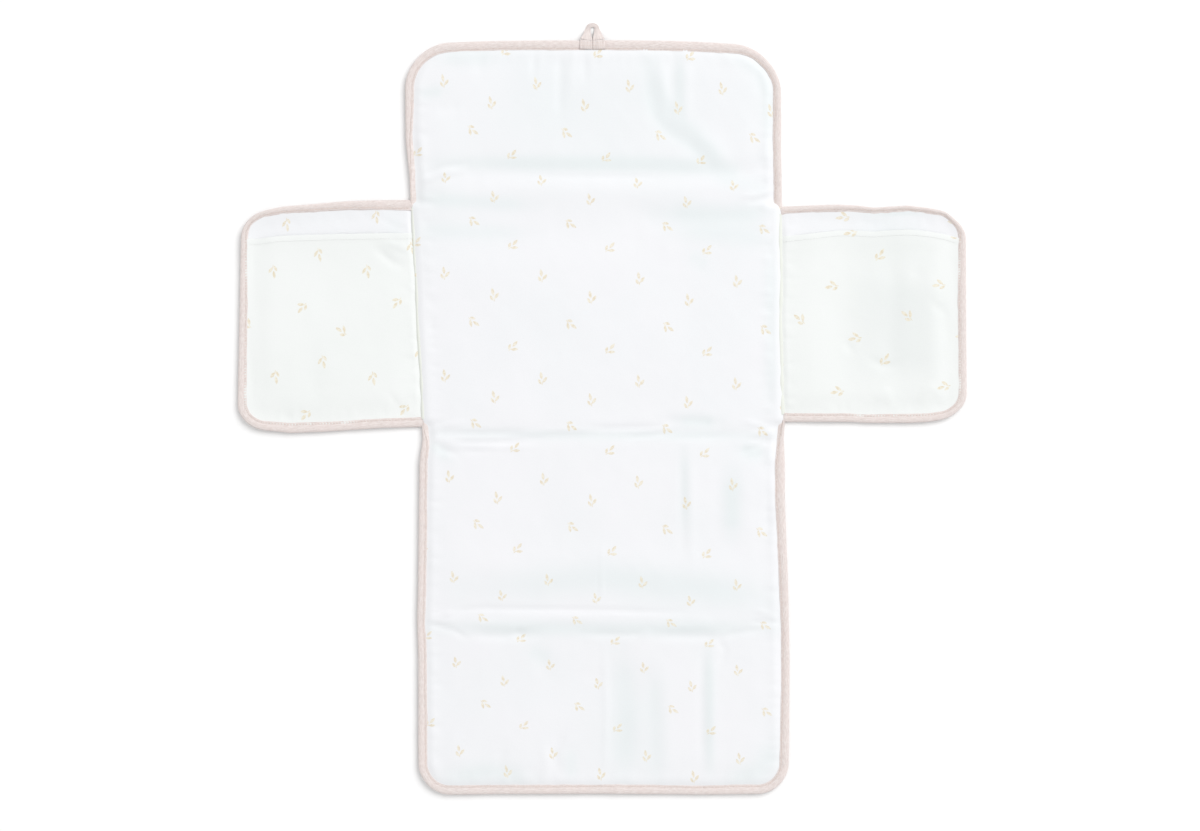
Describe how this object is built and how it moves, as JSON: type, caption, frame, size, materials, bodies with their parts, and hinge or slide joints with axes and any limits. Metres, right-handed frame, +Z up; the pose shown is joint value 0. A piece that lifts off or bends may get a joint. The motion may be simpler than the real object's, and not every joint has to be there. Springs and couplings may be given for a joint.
{
  "type": "changing pad",
  "caption": "Padded fold-up changing pad lying open, with a printed wipe-clean centre, side wings with open-topped pockets, bound edges and a tape loop.",
  "frame": {"origin": "on the floor, under the middle of the open pad's bounding box", "axes": "+Z up from the floor, +Y along the centre strip towards the loop, +X across the wings towards the right one"},
  "size_m": [0.655, 0.696, 0.0084],
  "materials": {
    "coated_print": "satin wipe-clean coating",
    "cotton_print": "matt woven cotton",
    "wadding": "matt",
    "binding_tape": "matt woven tape",
    "button": "semi-matt",
    "thread": "matt"
  },
  "bodies": {
    "seat": {"seat_inner_face": "coated_print", "seat_wadding": "wadding", "seat_outer_shell": "cotton_print", "seat_binding_left": "binding_tape", "seat_binding_right": "binding_tape", "seat_left_wing_seam": "cotton_print", "seat_right_wing_seam": "cotton_print"},
    "upper_spine": {"upper_spine_inner_face": "coated_print", "upper_spine_wadding": "wadding", "upper_spine_outer_shell": "cotton_print", "upper_spine_binding_left": "binding_tape", "upper_spine_binding_right": "binding_tape"},
    "flap": {"flap_inner_face": "coated_print", "flap_wadding": "wadding", "flap_outer_shell": "cotton_print", "flap_binding": "binding_tape", "flap_loop_end_left": "binding_tape", "flap_loop_end_right": "binding_tape"},
    "loop": {"loop": "binding_tape"},
    "lower_spine": {"lower_spine_inner_face": "coated_print", "lower_spine_wadding": "wadding", "lower_spine_outer_shell": "cotton_print", "lower_spine_binding_left": "binding_tape", "lower_spine_binding_right": "binding_tape"},
    "middle": {"middle_inner_face": "coated_print", "middle_wadding": "wadding", "middle_outer_shell": "cotton_print", "middle_binding_left": "binding_tape", "middle_binding_right": "binding_tape", "button": "button", "button_thread": "thread"},
    "foot": {"foot_inner_face": "coated_print", "foot_wadding": "wadding", "foot_outer_shell": "cotton_print", "foot_binding": "binding_tape"},
    "left_wing": {"left_wing_lining": "coated_print", "left_wing_wadding": "wadding", "left_wing_outer_shell": "cotton_print", "left_wing_pocket": "cotton_print", "left_wing_binding": "binding_tape"},
    "right_wing": {"right_wing_lining": "coated_print", "right_wing_wadding": "wadding", "right_wing_outer_shell": "cotton_print", "right_wing_pocket": "cotton_print", "right_wing_binding": "binding_tape"}
  },
  "joints": [
    {"name": "left_wing_fold", "type": "hinge", "parent": "seat", "child": "left_wing", "pos_m": [-0.1642, 0.0855, 0.00775], "axis": [0, 1, 0], "range_deg": [0, 179.9]},
    {"name": "right_wing_fold", "type": "hinge", "parent": "seat", "child": "right_wing", "pos_m": [0.1642, 0.0855, 0.00775], "axis": [0, -1, 0], "range_deg": [0, 179.9]},
    {"name": "foot_fold", "type": "hinge", "parent": "middle", "child": "foot", "pos_m": [0, -0.1913, 0.0068], "axis": [-1, 0, 0], "range_deg": [0, 179.9]},
    {"name": "lower_spine_fold", "type": "hinge", "parent": "seat", "child": "lower_spine", "pos_m": [0, -0.0165, 0.0068], "axis": [-1, 0, 0], "range_deg": [0, 90]},
    {"name": "middle_fold", "type": "hinge", "parent": "lower_spine", "child": "middle", "pos_m": [0, -0.033, 0.0068], "axis": [-1, 0, 0], "range_deg": [0, 90]},
    {"name": "upper_spine_fold", "type": "hinge", "parent": "seat", "child": "upper_spine", "pos_m": [0, 0.1956, 0.0068], "axis": [1, 0, 0], "range_deg": [0, 90]},
    {"name": "flap_fold", "type": "hinge", "parent": "upper_spine", "child": "flap", "pos_m": [0, 0.2206, 0.0068], "axis": [1, 0, 0], "range_deg": [0, 90]},
    {"name": "loop_lift", "type": "hinge", "parent": "flap", "child": "loop", "pos_m": [0, 0.332, 0.00415], "axis": [-1, 0, 0], "range_deg": [-90, 0]}
  ],
  "couplings": [
    {"joint": "middle_fold", "follows": "lower_spine_fold", "ratio": 1},
    {"joint": "flap_fold", "follows": "upper_spine_fold", "ratio": 1}
  ]
}
